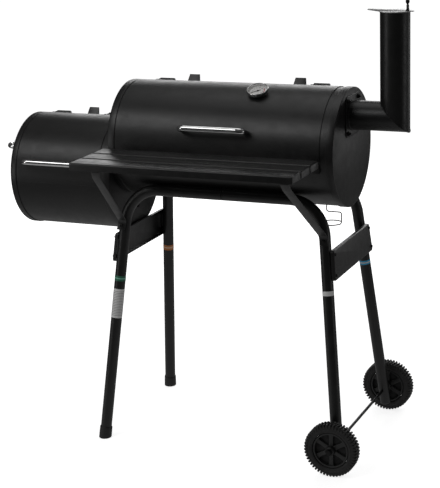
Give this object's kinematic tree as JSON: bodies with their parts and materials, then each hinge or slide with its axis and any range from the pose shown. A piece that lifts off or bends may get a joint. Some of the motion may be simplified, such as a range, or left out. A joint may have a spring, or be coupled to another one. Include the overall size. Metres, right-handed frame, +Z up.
{
  "type": "offset smoker",
  "caption": "Offset charcoal smoker: horizontal cooking barrel, lower side firebox, hinged lids, elbow chimney with damper, front slat shelf and wheeled tube legs",
  "frame": {"origin": "on the floor, under the centre of the overall box", "axes": "+X to the right along the barrel towards the chimney, -Y to the front where the shelf and handles are, +Z up"},
  "size_m": [1.2116, 0.6874, 1.2539],
  "materials": {
    "drum_coat": "satin heat-resistant black coat",
    "frame_coat": "semi-gloss black powder coat",
    "chrome": "polished plating",
    "zinc_steel": "zinc plated, slightly dull",
    "black_steel": "black oxide, slightly oily",
    "bare_steel": "bare rolled steel, fine grain",
    "grate_wire": "plated welded wire",
    "charcoal_grate_steel": "bare steel darkened by heat",
    "dial_face": "matt white with red and black marks",
    "needle_paint": "matt dark",
    "dial_glass": "clear",
    "foot_plastic": "moulded black",
    "tyre_rubber": "moulded black with tread lugs",
    "rim_plastic": "moulded black, fine grain"
  },
  "bodies": {
    "root": {"main_barrel": "drum_coat", "main_end_cap_left": "drum_coat", "main_end_cap_right": "drum_coat", "firebox_barrel": "drum_coat", "firebox_end_cap_left": "drum_coat", "firebox_end_cap_right": "drum_coat", "chimney_flange": "drum_coat", "chimney_pipe": "drum_coat", "chimney_stack": "drum_coat", "main_hinge_leaf_left": "frame_coat", "main_hinge_leaf_right": "frame_coat", "main_lid_stop_left": "frame_coat", "main_lid_stop_right": "frame_coat", "firebox_hinge_leaf_left": "frame_coat", "firebox_hinge_leaf_right": "frame_coat", "firebox_lid_stop": "frame_coat", "leg_front_left": "frame_coat", "leg_front_right": "frame_coat", "leg_rear_left": "frame_coat", "leg_rear_right": "frame_coat", "side_panel_left": "frame_coat", "side_panel_right": "frame_coat", "shelf_slat_front": "frame_coat", "shelf_slat_middle": "frame_coat", "shelf_slat_rear": "frame_coat", "shelf_brace_left": "frame_coat", "shelf_brace_right": "frame_coat", "firebox_end_handle": "chrome", "main_hinge_pin_left": "zinc_steel", "main_hinge_pin_right": "zinc_steel", "firebox_hinge_pin_left": "zinc_steel", "firebox_hinge_pin_right": "zinc_steel", "air_damper_bolt": "zinc_steel", "grease_can_hanger": "zinc_steel", "stack_damper_spindle": "black_steel", "axle": "black_steel", "cooking_grate_left": "grate_wire", "cooking_grate_right": "grate_wire", "firebox_charcoal_grate": "charcoal_grate_steel", "foot_cap_front": "foot_plastic", "foot_cap_rear": "foot_plastic"},
    "main_lid": {"main_lid": "drum_coat", "main_lid_handle": "chrome", "thermometer_case": "chrome", "thermometer_dial": "dial_face", "thermometer_glass": "dial_glass", "thermometer_nut": "zinc_steel", "main_lid_hinge_leaf_left": "frame_coat", "main_lid_hinge_leaf_right": "frame_coat"},
    "thermometer_needle": {"thermometer_needle": "needle_paint"},
    "firebox_lid": {"firebox_lid": "drum_coat", "firebox_lid_handle": "chrome", "firebox_lid_hinge_leaf_left": "frame_coat", "firebox_lid_hinge_leaf_right": "frame_coat"},
    "stack_damper": {"stack_damper": "bare_steel"},
    "air_damper": {"air_damper": "drum_coat"},
    "front_wheel": {"tyre_front": "tyre_rubber", "wheel_rim_front": "rim_plastic"},
    "rear_wheel": {"tyre_rear": "tyre_rubber", "wheel_rim_rear": "rim_plastic"}
  },
  "joints": [
    {"name": "main_lid_hinge", "type": "hinge", "parent": "root", "child": "main_lid", "pos_m": [0.0938, 0.11261, 1.01098], "axis": [-1, 0, 0], "range_deg": [0, 148.5]},
    {"name": "firebox_lid_hinge", "type": "hinge", "parent": "root", "child": "firebox_lid", "pos_m": [-0.40185, 0.11261, 0.90198], "axis": [-1, 0, 0], "range_deg": [0, 148.5]},
    {"name": "thermometer_needle_turn", "type": "hinge", "parent": "main_lid", "child": "thermometer_needle", "pos_m": [0.1893, -0.01398, 1.01095], "axis": [0, 0.4067, -0.9135], "range_deg": [0, 250]},
    {"name": "stack_damper_swivel", "type": "hinge", "parent": "root", "child": "stack_damper", "pos_m": [0.5888, 0.05635, 1.2229], "axis": [0, 0, 1], "continuous": true},
    {"name": "air_damper_swivel", "type": "hinge", "parent": "root", "child": "air_damper", "pos_m": [-0.5552, 0.05635, 0.706], "axis": [1, 0, 0], "continuous": true},
    {"name": "front_wheel_turn", "type": "hinge", "parent": "root", "child": "front_wheel", "pos_m": [0.45371, -0.20065, 0.075], "axis": [0, 1, 0], "continuous": true},
    {"name": "rear_wheel_turn", "type": "hinge", "parent": "root", "child": "rear_wheel", "pos_m": [0.45371, 0.31335, 0.075], "axis": [0, 1, 0], "continuous": true}
  ]
}
